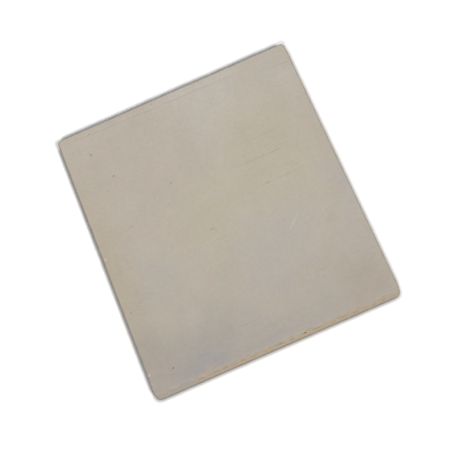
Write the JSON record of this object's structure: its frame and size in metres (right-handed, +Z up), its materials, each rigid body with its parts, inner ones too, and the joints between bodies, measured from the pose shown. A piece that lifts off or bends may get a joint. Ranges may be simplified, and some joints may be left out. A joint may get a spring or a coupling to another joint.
{
  "type": "kiln shelf",
  "caption": "Flat rectangular cordierite slab with rounded corners and soft arrises, a shelf that carries ware inside a kiln.",
  "frame": {"origin": "middle of the underside", "axes": "+Z up out of the working face, +Y from the near side to the far side along the longer edge, +X along the shorter edge and the press marks"},
  "size_m": [0.3, 0.35, 0.018],
  "materials": {
    "cordierite": "matte fired body, bare and unglazed, fine grain with press marks"
  },
  "bodies": {
    "root": {"kiln_shelf": "cordierite"}
  },
  "joints": []
}
